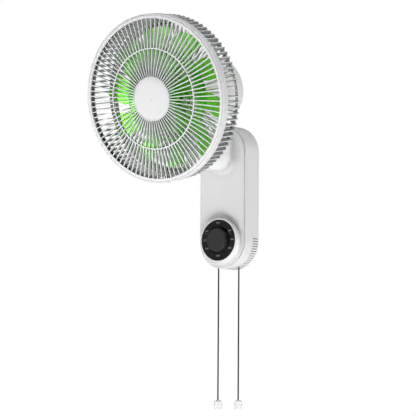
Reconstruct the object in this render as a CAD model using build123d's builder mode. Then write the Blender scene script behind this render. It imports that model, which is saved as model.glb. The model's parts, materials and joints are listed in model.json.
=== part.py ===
from build123d import *
import os
from math import sin, cos, radians, degrees, sqrt, pi, tan, acos

os.makedirs("parts", exist_ok=True)

# ---------------------------------------------------------------- frame
# Front faces -Y, +Z up, the wall is the plane Y = 0, X = 0 is the centreline.
# The origin is on the wall plane, midway between the two end arcs of the body.

# ---------------------------------------------------------------- body
BODY_R = 53.7            # half width of the body, and radius of both end arcs
BODY_ZC = 83.0           # arc centres at Z = +/- this
BODY_D = 45.0            # wall to front face
SEAM_D = 41.0            # wall to the back of the front panel
LIP_D = 43.0             # wall to the front edge of the rear housing
PANEL_R = 50.0           # end arcs of the front panel, which stands proud inside the housing's lip
LIP_R = 50.15
WALL = 2.4
RECESS = 2.2             # space behind the back wall for the wall plate
BACK_D = RECESS + WALL   # inner face of the back wall

MOUNT_DX = 60.0          # wall screw pattern
MOUNT_DZ = 120.0
MOUNT_HOLE_R = 2.6

VENT_STEP = 5.19         # degrees between the cooling slots of the bottom arc
VENT_HALF = 18           # slots each side of the lowest one
VENT_W = 1.2
VENT_D0, VENT_D1 = 3.4, 20.8

# ---------------------------------------------------------------- dial
DIAL_D = 57.0            # wall to the dial face
DIAL_R = 38.7
BEZEL_R = 41.0
PED_R = 44.5
KNOB_R0, KNOB_R1 = 23.4, 22.0
KNOB_H = 8.8

# ---------------------------------------------------------------- neck
NECK_R = 26.5
NECK_WALL = 2.6
NECK_Z0, NECK_Z1 = 75.0, 92.0
NECK_FLARE = 9.3
PIN_Y, PIN_Z = -122.06, 83.66      # tilt pin
PIN_R = 4.0
NECK_TOP_Z = 92.7

# ---------------------------------------------------------------- cords
CORD_X = 23.5
CORD_Y = -23.0
CORD_R = 1.4
CORD_TOP_Z = -114.0
PULL_TOP_Z = -383.2
PULL_R = 7.35
PULL_L = 18.0

# ---------------------------------------------------------------- head
TILT = 10.4              # head tilt, degrees below level
c, s = cos(radians(TILT)), sin(radians(TILT))
HC = Vector(0, -260.65, 162.94)    # centre of the guard's front opening
N = Vector(0, -c, -s)              # out of the front of the head
U = Vector(0, c, s)                # back along the head's axis
V = Vector(0, -s, c)               # up in the head
HEAD_AXIS = Axis(HC, U)
RP = Plane(origin=HC, x_dir=(1, 0, 0), z_dir=V)      # radius, depth

SWING_T = 122.0          # depth of the swing axis

RIM_R = 152.9            # outside of the front guard's rim
RIM_IN = 147.0
BAND_R = 155.7           # outside of the rear guard's side band
MID_R = 91.9
CAP_R = 40.9
SPOKE_D = 5.5
N_OUT, N_IN, N_REAR = 90, 60, 90

SHAFT_R = 4.0
MOTOR_R = 48.0
COVER_R = 64.0
COVER_T0, COVER_T1 = 69.0, 204.5
COVER_V = 3.0            # the cover sits this much above the head's axis

BLADE_R = 129.0
RING_R = 79.4


def hp(t, v=0.0, x=0.0):
    return Plane(origin=HC + U * t + V * v + Vector(x, 0, 0), x_dir=(1, 0, 0), z_dir=N)


def vp(t, v, x=0.0):
    return Plane(origin=HC + U * t + V * v + Vector(x, 0, 0), x_dir=(1, 0, 0), z_dir=V)


def fp(d):
    return Plane(origin=(0, -d, 0), x_dir=(1, 0, 0), z_dir=(0, -1, 0))


def zp(x, y, z):
    return Plane(origin=(x, y, z), x_dir=(1, 0, 0), z_dir=(0, 0, 1))


DP = Plane(origin=(0, 0, -BODY_ZC), x_dir=(1, 0, 0), z_dir=(0, 0, -1))   # radius, distance from wall
DIAL_AXIS = Axis((0, 0, -BODY_ZC), (0, -1, 0))
SIDE = Plane(origin=(0, 0, 0), x_dir=(0, 1, 0), z_dir=(1, 0, 0))          # local x = Y, local y = Z


# ================================================================ wall unit
with BuildPart() as wall_plate:
    with BuildSketch(fp(0)):
        RectangleRounded(72, 176, 14)
        with GridLocations(MOUNT_DX, MOUNT_DZ, 2, 2):
            Circle(MOUNT_HOLE_R, mode=Mode.SUBTRACT)
        with Locations((0, 0)):
            SlotCenterToCenter(70, 24, rotation=90, mode=Mode.SUBTRACT)
        with Locations((0, 78), (0, -78)):
            Circle(1.65, mode=Mode.SUBTRACT)
    extrude(amount=2.0)
wall_plate.part.label = "wall_plate"
export_step(wall_plate.part, "parts/wall_plate.step")

BOSS_XZ = [(42, 34), (-42, 34), (42, -40), (-42, -40)]
BRACKET_XZ = [(19, 50), (-19, 50), (19, 108), (-19, 108)]
BOARD_XZ = [(20, -26), (-20, -26), (20, 26), (-20, 26)]

with BuildPart() as rear_housing:
    with BuildSketch(fp(0)):
        SlotCenterToCenter(2 * BODY_ZC, 2 * BODY_R, rotation=90)
    extrude(amount=LIP_D)
    fillet(rear_housing.edges().group_by(Axis.Y)[-1], 1.5)
    fillet(rear_housing.edges().group_by(Axis.Y)[0], 1.3)
    with BuildSketch(fp(BACK_D)):
        SlotCenterToCenter(2 * BODY_ZC, 2 * (BODY_R - WALL), rotation=90)
    extrude(amount=LIP_D - 2.6 - BACK_D, mode=Mode.SUBTRACT)
    with BuildSketch(fp(30)):
        SlotCenterToCenter(2 * BODY_ZC, 2 * LIP_R, rotation=90)
    extrude(amount=20, mode=Mode.SUBTRACT)
    with BuildSketch(fp(-1)):
        SlotCenterToCenter(2 * BODY_ZC, 2 * (BODY_R - 5.5), rotation=90)
    extrude(amount=1 + RECESS, mode=Mode.SUBTRACT)
    # bosses for the case screws, the neck bracket, the board and the switches
    with BuildSketch(fp(RECESS)):
        with Locations(*BOSS_XZ):
            Circle(4.6)
    extrude(amount=12 - RECESS)
    with BuildSketch(fp(RECESS)):
        with Locations(*BRACKET_XZ):
            Circle(4.2)
    extrude(amount=10 - RECESS)
    with BuildSketch(fp(RECESS)):
        with Locations(*BOARD_XZ):
            Circle(3.0)
    extrude(amount=8 - RECESS)
    with BuildSketch(fp(RECESS)):
        with Locations((CORD_X, -108), (-CORD_X, -108), (CORD_X, -92), (-CORD_X, -92)):
            Circle(3.0)
    extrude(amount=-CORD_Y - 9.1 - RECESS)
    with BuildSketch(fp(RECESS - 0.5)):
        with Locations(*BOSS_XZ):
            Circle(1.75)
        with Locations(*BRACKET_XZ):
            Circle(1.75)
    extrude(amount=14, mode=Mode.SUBTRACT)
    with BuildSketch(fp(7.5)):
        with Locations(*BOARD_XZ):
            Circle(1.4)
    extrude(amount=3.4)
    with BuildSketch(fp(RECESS - 0.5)):
        with Locations(*BOSS_XZ):
            Circle(3.6)
    extrude(amount=2.6, mode=Mode.SUBTRACT)
    # driver holes in front of the wall screws, lead entry, plate screws
    with BuildSketch(fp(RECESS - 0.5)):
        with GridLocations(MOUNT_DX, MOUNT_DZ, 2, 2):
            Circle(6.5)
        with Locations((0, -114)):
            Circle(6.05)
        with Locations((0, 78), (0, -78)):
            Circle(1.85)
    extrude(amount=WALL + 1, mode=Mode.SUBTRACT)
    # cooling slots
    with BuildSketch(fp(VENT_D0)):
        with Locations((0, -BODY_ZC)):
            with PolarLocations(BODY_R - 1.2, 2 * VENT_HALF + 1, -90 - VENT_HALF * VENT_STEP,
                                2 * VENT_HALF * VENT_STEP, endpoint=True):
                Rectangle(7, VENT_W)
    extrude(amount=VENT_D1 - VENT_D0, mode=Mode.SUBTRACT)
    # cord outlets
    with BuildSketch(zp(0, CORD_Y, -140)):
        with Locations((CORD_X, 0), (-CORD_X, 0)):
            Circle(2.55)
    extrude(amount=22, mode=Mode.SUBTRACT)
rear_housing.part.label = "rear_housing"
export_step(rear_housing.part, "parts/rear_housing.step")

CUT = [(-64, 150), (-64, 119.5), (-84, NECK_TOP_Z), (-124.5, NECK_TOP_Z), (-170, 66), (-170, 150)]
CUT_IN = [(-60.5, 150), (-60.5, 117), (-82.5, NECK_TOP_Z - 2.8), (-96, NECK_TOP_Z - 2.8), (-96, 150)]

with BuildPart() as neck_hollow:
    with BuildSketch(fp(40)):
        with Locations((0, (NECK_Z0 + NECK_Z1) / 2)):
            SlotCenterToCenter(NECK_Z1 - NECK_Z0, 2 * (NECK_R - NECK_WALL), rotation=90)
    extrude(amount=-PIN_Y - 40)
    with BuildSketch(SIDE):
        with BuildLine():
            Polyline(*CUT_IN, close=True)
        make_face()
    extrude(amount=60, both=True, mode=Mode.SUBTRACT)
    with BuildSketch(zp(0, PIN_Y, NECK_Z0)):
        Circle(NECK_R - NECK_WALL)
    extrude(amount=70)
    with BuildSketch(zp(0, PIN_Y, NECK_Z0)):
        with BuildLine():
            Line((0, NECK_R - NECK_WALL), (0, -(NECK_R - NECK_WALL)))
            RadiusArc((0, -(NECK_R - NECK_WALL)), (0, NECK_R - NECK_WALL), -(NECK_R - NECK_WALL))
        make_face()
    revolve(axis=Axis((0, PIN_Y, NECK_Z0), (0, 1, 0)))

with BuildPart() as front_panel:
    with BuildSketch(fp(SEAM_D)):
        SlotCenterToCenter(2 * BODY_ZC, 2 * PANEL_R, rotation=90)
    extrude(amount=BODY_D - SEAM_D)
    with BuildSketch(fp(BODY_D - 1)):
        with Locations((0, (NECK_Z0 + NECK_Z1) / 2)):
            SlotCenterToCenter(NECK_Z1 - NECK_Z0, 2 * NECK_R, rotation=90)
    extrude(amount=-PIN_Y - BODY_D + 1)
    front = front_panel.edges().filter_by(lambda e: abs(e.center().Y + BODY_D) < 0.01
                                          and abs(e.bounding_box().max.Y + BODY_D) < 0.01
                                          and abs(e.bounding_box().min.Y + BODY_D) < 0.01)
    fillet(front.filter_by(lambda e: e.bounding_box().max.X < NECK_R + 1 and e.bounding_box().min.X > -NECK_R - 1
                           and e.bounding_box().min.Z > 40 and e.bounding_box().max.Z < 125), NECK_FLARE)
    rim = front_panel.edges().filter_by(lambda e: abs(e.bounding_box().max.Y + BODY_D) < 0.01
                                        and abs(e.bounding_box().min.Y + BODY_D) < 0.01
                                        and max(abs(e.bounding_box().max.X), abs(e.bounding_box().min.X)) > PANEL_R - 1)
    fillet(rim, 1.2)
    with BuildSketch(SIDE):
        with BuildLine():
            Polyline(*CUT, close=True)
        make_face()
    extrude(amount=60, both=True, mode=Mode.SUBTRACT)
    with BuildSketch(zp(0, PIN_Y, NECK_Z0)):
        Circle(NECK_R)
    extrude(amount=NECK_TOP_Z - NECK_Z0)
    with BuildSketch(zp(0, PIN_Y, NECK_Z0)):
        with BuildLine():
            Line((0, NECK_R), (0, -NECK_R))
            RadiusArc((0, -NECK_R), (0, NECK_R), -NECK_R)
        make_face()
    revolve(axis=Axis((0, PIN_Y, NECK_Z0), (0, 1, 0)))
    with BuildSketch(SIDE):
        with BuildLine():
            Polyline(*CUT, close=True)
        make_face()
    extrude(amount=60, both=True, mode=Mode.SUBTRACT)
    # dial pedestal
    with BuildSketch(DP):
        with BuildLine():
            l1 = Polyline((0, 43), (PED_R + 1.6, 43), (PED_R + 1.6, BODY_D))
            l2 = RadiusArc((PED_R + 1.6, BODY_D), (PED_R - 1.0, BODY_D + 2.2), 3.2)
            l3 = Line((PED_R - 1.0, BODY_D + 2.2), (BEZEL_R + 0.7, DIAL_D))
            l4 = RadiusArc((BEZEL_R + 0.7, DIAL_D), (BEZEL_R - 0.5, DIAL_D + 0.9), -1.1)
            l5 = Polyline((BEZEL_R - 0.5, DIAL_D + 0.9), (DIAL_R + 0.5, DIAL_D + 0.9),
                          (DIAL_R + 0.15, DIAL_D + 0.2), (DIAL_R + 0.15, DIAL_D - 3.05), (0, DIAL_D - 3.05), (0, 43))
        make_face()
    revolve(axis=DIAL_AXIS)
    # hollow of the pedestal, opening for the switch bushing
    with BuildSketch(DP):
        Polygon((0, 40), (PED_R - 2.6, 40), (PED_R - 3.4, BODY_D + 2), (BEZEL_R - 2.8, DIAL_D - 5.4), (0, DIAL_D - 5.4), align=None)
    revolve(axis=DIAL_AXIS, mode=Mode.SUBTRACT)
    with BuildSketch(fp(40)):
        with Locations((0, -BODY_ZC)):
            Circle(4.7)
            with Locations((0, 12)):
                Rectangle(2.2, 3.2)
    extrude(amount=20, mode=Mode.SUBTRACT)
    add(neck_hollow.part, mode=Mode.SUBTRACT)
    # tongue inside the rear housing
    with BuildSketch(fp(SEAM_D + 0.5)):
        SlotCenterToCenter(2 * BODY_ZC, 2 * PANEL_R, rotation=90)
        SlotCenterToCenter(2 * BODY_ZC, 2 * (PANEL_R - 2.0), rotation=90, mode=Mode.SUBTRACT)
    extrude(amount=-4.5)
    # posts for the case screws
    with BuildSketch(fp(12.1)):
        with Locations(*BOSS_XZ):
            Circle(4.0)
    extrude(amount=SEAM_D - 12.1 + 0.5)
    with BuildSketch(fp(12)):
        with Locations(*BOSS_XZ):
            Circle(1.55)
    extrude(amount=18, mode=Mode.SUBTRACT)
front_panel.part.label = "front_panel"
export_step(front_panel.part, "parts/front_panel.step")

with BuildPart() as case_screws:
    with BuildSketch(fp(RECESS + 0.1)):
        with Locations(*BOSS_XZ):
            Circle(3.2)
    extrude(amount=2.0)
    with BuildSketch(fp(RECESS + 1.5)):
        with Locations(*BOSS_XZ):
            Circle(1.5)
    extrude(amount=24)
    with BuildSketch(fp(RECESS + 0.05)):
        with Locations(*BOSS_XZ):
            Rectangle(4.2, 0.9)
            Rectangle(0.9, 4.2)
    extrude(amount=1.0, mode=Mode.SUBTRACT)
case_screws.part.label = "case_screws"
export_step(case_screws.part, "parts/case_screws.step")

with BuildPart() as plate_screws:
    with BuildSketch(fp(BACK_D)):
        with Locations((0, 78), (0, -78)):
            Circle(3.2)
    extrude(amount=2.0)
    with BuildSketch(fp(BACK_D + 1)):
        with Locations((0, 78), (0, -78)):
            Circle(1.6)
    extrude(amount=-(BACK_D + 0.7))
    with BuildSketch(fp(BACK_D + 2.1)):
        with Locations((0, 78), (0, -78)):
            Rectangle(4.2, 0.9)
            Rectangle(0.9, 4.2)
    extrude(amount=-1.1, mode=Mode.SUBTRACT)
plate_screws.part.label = "plate_screws"
export_step(plate_screws.part, "parts/plate_screws.step")

with BuildPart() as lead_bush:
    with BuildSketch(fp(RECESS - 1.2)):
        with Locations((0, -114)):
            Circle(8.0)
    extrude(amount=1.15)
    with BuildSketch(fp(RECESS - 1.2)):
        with Locations((0, -114)):
            Circle(6.0)
    extrude(amount=1.2 + WALL + 0.05)
    with BuildSketch(fp(BACK_D + 0.05)):
        with Locations((0, -114)):
            Circle(8.0)
    extrude(amount=1.6)
    with BuildSketch(fp(0)):
        with Locations((0, -114)):
            Circle(3.6)
    extrude(amount=12, mode=Mode.SUBTRACT)
lead_bush.part.label = "lead_bush"
export_step(lead_bush.part, "parts/lead_bush.step")

# ---------------------------------------------------------------- neck bracket and tilt pin
with BuildPart() as neck_bracket:
    with BuildSketch(fp(10.05)):
        with Locations((0, 79)):
            RectangleRounded(50, 72, 4)
        with Locations(*BRACKET_XZ):
            Circle(2.0, mode=Mode.SUBTRACT)
    extrude(amount=2.4)
    with BuildSketch(Plane(origin=(13.6, 0, 0), x_dir=(0, 1, 0), z_dir=(1, 0, 0))):
        with BuildLine():
            Polyline((-11, 64), (-11, 102), (-52, 102), (-74, PIN_Z + 4.6), (PIN_Y, PIN_Z + 4.6), (PIN_Y, PIN_Z - 8.0),
                     (-76, PIN_Z - 12), (-52, 64), (-11, 64))
        make_face()
        with Locations((PIN_Y, PIN_Z)):
            Circle(8.6)
        with Locations((PIN_Y, PIN_Z)):
            Circle(PIN_R + 0.04, mode=Mode.SUBTRACT)
    extrude(amount=2.5)
    mirror(about=Plane.YZ)
neck_bracket.part.label = "neck_bracket"
export_step(neck_bracket.part, "parts/neck_bracket.step")

with BuildPart() as bracket_screws:
    with BuildSketch(fp(12.5)):
        with Locations(*BRACKET_XZ):
            Circle(3.3)
    extrude(amount=2.2)
    with BuildSketch(fp(13)):
        with Locations(*BRACKET_XZ):
            Circle(1.68)
    extrude(amount=-10)
    with BuildSketch(fp(14.8)):
        with Locations(*BRACKET_XZ):
            Rectangle(4.2, 0.9)
            Rectangle(0.9, 4.2)
    extrude(amount=-1.1, mode=Mode.SUBTRACT)
bracket_screws.part.label = "bracket_screws"
export_step(bracket_screws.part, "parts/bracket_screws.step")

TP = Plane(origin=(0, PIN_Y, PIN_Z), x_dir=(0, 1, 0), z_dir=(1, 0, 0))     # across the tilt pin

with BuildPart() as tilt_pin:
    with BuildSketch(TP.offset(-20.5)):
        Circle(PIN_R)
    extrude(amount=38)
    with BuildSketch(TP.offset(16.2)):
        RegularPolygon(6.4, 6)
    extrude(amount=3.4)
tilt_pin.part.label = "tilt_pin"
export_step(tilt_pin.part, "parts/tilt_pin.step")

with BuildPart() as tilt_nut:
    with BuildSketch(TP.offset(-16.2)):
        RegularPolygon(6.4, 6)
        Circle(PIN_R + 0.03, mode=Mode.SUBTRACT)
    extrude(amount=-3.6)
tilt_nut.part.label = "tilt_nut"
export_step(tilt_nut.part, "parts/tilt_nut.step")

with BuildPart() as tilt_washers:
    with BuildSketch(TP.offset(13.05)):
        Circle(8.2)
        Circle(PIN_R + 0.1, mode=Mode.SUBTRACT)
    extrude(amount=0.5)
    with BuildSketch(TP.offset(-13.05)):
        Circle(8.2)
        Circle(PIN_R + 0.1, mode=Mode.SUBTRACT)
    extrude(amount=-0.5)
tilt_washers.part.label = "tilt_washers"
export_step(tilt_washers.part, "parts/tilt_washers.step")

# ---------------------------------------------------------------- dial, switch and knob
with BuildPart() as dial_plate:
    with BuildSketch(fp(DIAL_D - 3.0)):
        with Locations((0, -BODY_ZC)):
            Circle(DIAL_R)
            Circle(4.7, mode=Mode.SUBTRACT)
    extrude(amount=3.0)
    # sunk ring round the knob
    with BuildSketch(fp(DIAL_D - 2.2)):
        with Locations((0, -BODY_ZC)):
            Circle(KNOB_R0 + 2.6)
            Circle(KNOB_R0 - 2.4, mode=Mode.SUBTRACT)
    extrude(amount=3, mode=Mode.SUBTRACT)
dial_plate.part.label = "dial_plate"
export_step(dial_plate.part, "parts/dial_plate.step")

with BuildPart() as rotary_switch:
    with BuildSketch(fp(33)):
        with Locations((0, -BODY_ZC)):
            RectangleRounded(36, 36, 5)
    extrude(amount=DIAL_D - 5.5 - 33)
    with BuildSketch(fp(50)):
        with Locations((0, -BODY_ZC)):
            Circle(4.6)
            with Locations((0, 12)):
                Rectangle(1.8, 2.8)
    extrude(amount=3.5)
    with BuildSketch(fp(50)):
        with Locations((0, -BODY_ZC)):
            Circle(4.6)
    extrude(amount=9.2)
    with BuildSketch(fp(36)):
        with Locations((0, -BODY_ZC)):
            Circle(3.05)
    extrude(amount=30, mode=Mode.SUBTRACT)
    with BuildSketch(fp(30)):
        with Locations((-12, -BODY_ZC), (-6, -BODY_ZC), (0, -BODY_ZC), (6, -BODY_ZC), (12, -BODY_ZC)):
            Rectangle(0.8, 5)
    extrude(amount=4)
rotary_switch.part.label = "rotary_switch"
export_step(rotary_switch.part, "parts/rotary_switch.step")

with BuildPart() as switch_nut:
    with BuildSketch(fp(DIAL_D + 0.05)):
        with Locations((0, -BODY_ZC)):
            RegularPolygon(7.0, 6)
            Circle(4.65, mode=Mode.SUBTRACT)
    extrude(amount=2.0)
switch_nut.part.label = "switch_nut"
export_step(switch_nut.part, "parts/switch_nut.step")

with BuildPart() as switch_shaft:
    with BuildSketch(fp(36.2)):
        with Locations((0, -BODY_ZC)):
            Circle(3.0)
    extrude(amount=DIAL_D + 6.6 - 36.2)
    with BuildSketch(fp(DIAL_D + 2.4)):
        with Locations((0, -BODY_ZC - 4.4)):
            Rectangle(8, 4)
    extrude(amount=6, mode=Mode.SUBTRACT)
switch_shaft.part.label = "switch_shaft"
export_step(switch_shaft.part, "parts/switch_shaft.step")

with BuildPart() as control_knob:
    with BuildSketch(DP):
        with BuildLine():
            Polyline((0, DIAL_D + 0.4), (KNOB_R0 - 1.7, DIAL_D + 0.4), (KNOB_R0 - 1.7, DIAL_D - 1.5), (KNOB_R0, DIAL_D - 1.5),
                     (KNOB_R0, DIAL_D + 1.6), (KNOB_R1 + 0.2, DIAL_D + KNOB_H - 1.8))
            RadiusArc((KNOB_R1 + 0.2, DIAL_D + KNOB_H - 1.8), (KNOB_R1 - 1.6, DIAL_D + KNOB_H), -1.9)
            Polyline((KNOB_R1 - 1.6, DIAL_D + KNOB_H), (0, DIAL_D + KNOB_H), (0, DIAL_D + 0.4))
        make_face()
    revolve(axis=DIAL_AXIS)
    with BuildSketch(DP):
        Polygon((0, DIAL_D), (9.5, DIAL_D), (9.5, DIAL_D + 2.6), (0, DIAL_D + 2.6), align=None)
    revolve(axis=DIAL_AXIS, mode=Mode.SUBTRACT)
    with BuildSketch(fp(DIAL_D)):
        with Locations((0, -BODY_ZC)):
            Circle(3.03)
            with Locations((0, -4.43)):
                Rectangle(8, 4, mode=Mode.SUBTRACT)
    extrude(amount=6.7, mode=Mode.SUBTRACT)
    # pointer groove
    with BuildSketch(fp(DIAL_D + KNOB_H + 0.1)):
        with Locations((12.5, -BODY_ZC)):
            SlotOverall(9.0, 1.6)
    extrude(amount=-0.6, mode=Mode.SUBTRACT)
control_knob.part.label = "control_knob"
export_step(control_knob.part, "parts/control_knob.step")

# ---------------------------------------------------------------- electrics of the wall unit
with BuildPart() as control_board:
    with BuildSketch(fp(8.05)):
        RectangleRounded(50, 62, 2)
        with Locations(*BOARD_XZ):
            Circle(1.5, mode=Mode.SUBTRACT)
    extrude(amount=1.6)
    with BuildSketch(fp(9.6)):
        with Locations((-16, 6)):
            Rectangle(10, 16)
        with Locations((14, 10)):
            Circle(5)
    extrude(amount=9)
control_board.part.label = "control_board"
export_step(control_board.part, "parts/control_board.step")

with BuildPart() as terminal_block:
    with BuildSketch(fp(9.7)):
        with Locations((0, -14)):
            Rectangle(30, 12)
    extrude(amount=10)
    with BuildSketch(fp(20)):
        with Locations((0, -14)):
            with GridLocations(7, 1, 4, 1):
                Circle(2.2)
    extrude(amount=-4, mode=Mode.SUBTRACT)
terminal_block.part.label = "terminal_block"
export_step(terminal_block.part, "parts/terminal_block.step")

with BuildPart() as run_capacitor:
    with BuildSketch(fp(9.75)):
        with Locations((0, -44)):
            RectangleRounded(38, 20, 1.5)
    extrude(amount=17)
    with BuildSketch(fp(BACK_D + 0.05)):
        with Locations((0, -44)):
            Rectangle(30, 14)
    extrude(amount=8)
run_capacitor.part.label = "run_capacitor"
export_step(run_capacitor.part, "parts/run_capacitor.step")


with BuildPart() as pull_switch_left:
    with BuildSketch(zp(-CORD_X, CORD_Y, -118)):
        RectangleRounded(18, 18, 2)
    extrude(amount=32)
    with BuildSketch(zp(-CORD_X, CORD_Y, -114)):
        Circle(6.2)
    extrude(amount=26, mode=Mode.SUBTRACT)
    with BuildSketch(zp(-CORD_X, CORD_Y, -119)):
        Circle(2.5)
    extrude(amount=8, mode=Mode.SUBTRACT)
pull_switch_left.part.label = "pull_switch_left"
export_step(pull_switch_left.part, "parts/pull_switch_left.step")

with BuildPart() as pull_switch_right:
    with BuildSketch(zp(CORD_X, CORD_Y, -118)):
        RectangleRounded(18, 18, 2)
    extrude(amount=32)
    with BuildSketch(zp(CORD_X, CORD_Y, -114)):
        Circle(6.2)
    extrude(amount=26, mode=Mode.SUBTRACT)
    with BuildSketch(zp(CORD_X, CORD_Y, -119)):
        Circle(2.5)
    extrude(amount=8, mode=Mode.SUBTRACT)
pull_switch_right.part.label = "pull_switch_right"
export_step(pull_switch_right.part, "parts/pull_switch_right.step")

with BuildPart() as plunger_left:
    with BuildSketch(zp(-CORD_X, CORD_Y, -94)):
        Circle(5.8)
    extrude(amount=3)
    with BuildSketch(zp(-CORD_X, CORD_Y, CORD_TOP_Z - 2)):
        Circle(2.44)
    extrude(amount=-94.5 - CORD_TOP_Z + 3)
    with BuildSketch(zp(-CORD_X, CORD_Y, CORD_TOP_Z - 3)):
        Circle(CORD_R + 0.02)
    extrude(amount=6, mode=Mode.SUBTRACT)
plunger_left.part.label = "plunger_left"
export_step(plunger_left.part, "parts/plunger_left.step")

with BuildPart() as plunger_right:
    with BuildSketch(zp(CORD_X, CORD_Y, -94)):
        Circle(5.8)
    extrude(amount=3)
    with BuildSketch(zp(CORD_X, CORD_Y, CORD_TOP_Z - 2)):
        Circle(2.44)
    extrude(amount=-94.5 - CORD_TOP_Z + 3)
    with BuildSketch(zp(CORD_X, CORD_Y, CORD_TOP_Z - 3)):
        Circle(CORD_R + 0.02)
    extrude(amount=6, mode=Mode.SUBTRACT)
plunger_right.part.label = "plunger_right"
export_step(plunger_right.part, "parts/plunger_right.step")

SPRING_R = 4.2
SPRING_WIRE = 0.4

with BuildPart() as spring_left:
    with BuildLine() as coil_left:
        Helix(pitch=3.0, height=19.0, radius=SPRING_R, center=(-CORD_X, CORD_Y, -113.55))
    with BuildSketch(Plane(origin=coil_left.line @ 0, z_dir=coil_left.line % 0)):
        Circle(SPRING_WIRE)
    sweep(is_frenet=True)
spring_left.part.label = "spring_left"
export_step(spring_left.part, "parts/spring_left.step")

with BuildPart() as spring_right:
    with BuildLine() as coil_right:
        Helix(pitch=3.0, height=19.0, radius=SPRING_R, center=(CORD_X, CORD_Y, -113.55))
    with BuildSketch(Plane(origin=coil_right.line @ 0, z_dir=coil_right.line % 0)):
        Circle(SPRING_WIRE)
    sweep(is_frenet=True)
spring_right.part.label = "spring_right"
export_step(spring_right.part, "parts/spring_right.step")

GUIDE_Z0, GUIDE_Z1 = -133.2, -128.4
with BuildPart() as cord_guides:
    with BuildSketch(zp(0, CORD_Y, GUIDE_Z0)):
        with Locations((CORD_X, 0), (-CORD_X, 0)):
            Circle(2.5)
            Circle(1.7, mode=Mode.SUBTRACT)
    extrude(amount=GUIDE_Z1 - GUIDE_Z0)
cord_guides.part.label = "cord_guides"
export_step(cord_guides.part, "parts/cord_guides.step")

with BuildPart() as pull_cord_left:
    with BuildSketch(zp(-CORD_X, CORD_Y, CORD_TOP_Z)):
        Circle(CORD_R)
    extrude(amount=PULL_TOP_Z - 6 - CORD_TOP_Z)
pull_cord_left.part.label = "pull_cord_left"
export_step(pull_cord_left.part, "parts/pull_cord_left.step")

with BuildPart() as pull_cord_right:
    with BuildSketch(zp(CORD_X, CORD_Y, CORD_TOP_Z)):
        Circle(CORD_R)
    extrude(amount=PULL_TOP_Z - 6 - CORD_TOP_Z)
pull_cord_right.part.label = "pull_cord_right"
export_step(pull_cord_right.part, "parts/pull_cord_right.step")


with BuildPart() as cord_pull_left:
    with BuildSketch(Plane(origin=(-CORD_X, CORD_Y, 0), x_dir=(1, 0, 0), z_dir=(0, -1, 0))):
        with BuildLine():
            Line((0, PULL_TOP_Z), (2.1, PULL_TOP_Z))
            Spline((2.1, PULL_TOP_Z), (4.6, PULL_TOP_Z - 1.2), (PULL_R, PULL_TOP_Z - 4.8),
                   tangents=[(1, 0), (0, -1)])
            Line((PULL_R, PULL_TOP_Z - 4.8), (PULL_R, PULL_TOP_Z - PULL_L + 0.8))
            Line((PULL_R, PULL_TOP_Z - PULL_L + 0.8), (PULL_R - 0.8, PULL_TOP_Z - PULL_L))
            Line((PULL_R - 0.8, PULL_TOP_Z - PULL_L), (0, PULL_TOP_Z - PULL_L))
            Line((0, PULL_TOP_Z - PULL_L), (0, PULL_TOP_Z))
        make_face()
    revolve(axis=Axis((-CORD_X, CORD_Y, 0), (0, 0, 1)))
    with BuildSketch(zp(-CORD_X, CORD_Y, PULL_TOP_Z + 1)):
        Circle(CORD_R + 0.02)
    extrude(amount=-7.2, mode=Mode.SUBTRACT)
cord_pull_left.part.label = "cord_pull_left"
export_step(cord_pull_left.part, "parts/cord_pull_left.step")

with BuildPart() as cord_pull_right:
    with BuildSketch(Plane(origin=(CORD_X, CORD_Y, 0), x_dir=(1, 0, 0), z_dir=(0, -1, 0))):
        with BuildLine():
            Line((0, PULL_TOP_Z), (2.1, PULL_TOP_Z))
            Spline((2.1, PULL_TOP_Z), (4.6, PULL_TOP_Z - 1.2), (PULL_R, PULL_TOP_Z - 4.8),
                   tangents=[(1, 0), (0, -1)])
            Line((PULL_R, PULL_TOP_Z - 4.8), (PULL_R, PULL_TOP_Z - PULL_L + 0.8))
            Line((PULL_R, PULL_TOP_Z - PULL_L + 0.8), (PULL_R - 0.8, PULL_TOP_Z - PULL_L))
            Line((PULL_R - 0.8, PULL_TOP_Z - PULL_L), (0, PULL_TOP_Z - PULL_L))
            Line((0, PULL_TOP_Z - PULL_L), (0, PULL_TOP_Z))
        make_face()
    revolve(axis=Axis((CORD_X, CORD_Y, 0), (0, 0, 1)))
    with BuildSketch(zp(CORD_X, CORD_Y, PULL_TOP_Z + 1)):
        Circle(CORD_R + 0.02)
    extrude(amount=-7.2, mode=Mode.SUBTRACT)
cord_pull_right.part.label = "cord_pull_right"
export_step(cord_pull_right.part, "parts/cord_pull_right.step")

# ================================================================ tilting arm
ARM_T0, ARM_T1 = 100.0, SWING_T     # centres of the arm housing's two ends
ARM_R = 24.0
ARM_V0, ARM_V1, ARM_V2 = -93.0, -66.5, -63.5
ARM_TC = (ARM_T0 + ARM_T1) / 2
ARM_CC = ARM_T1 - ARM_T0
PIN_V = -103.0

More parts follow.
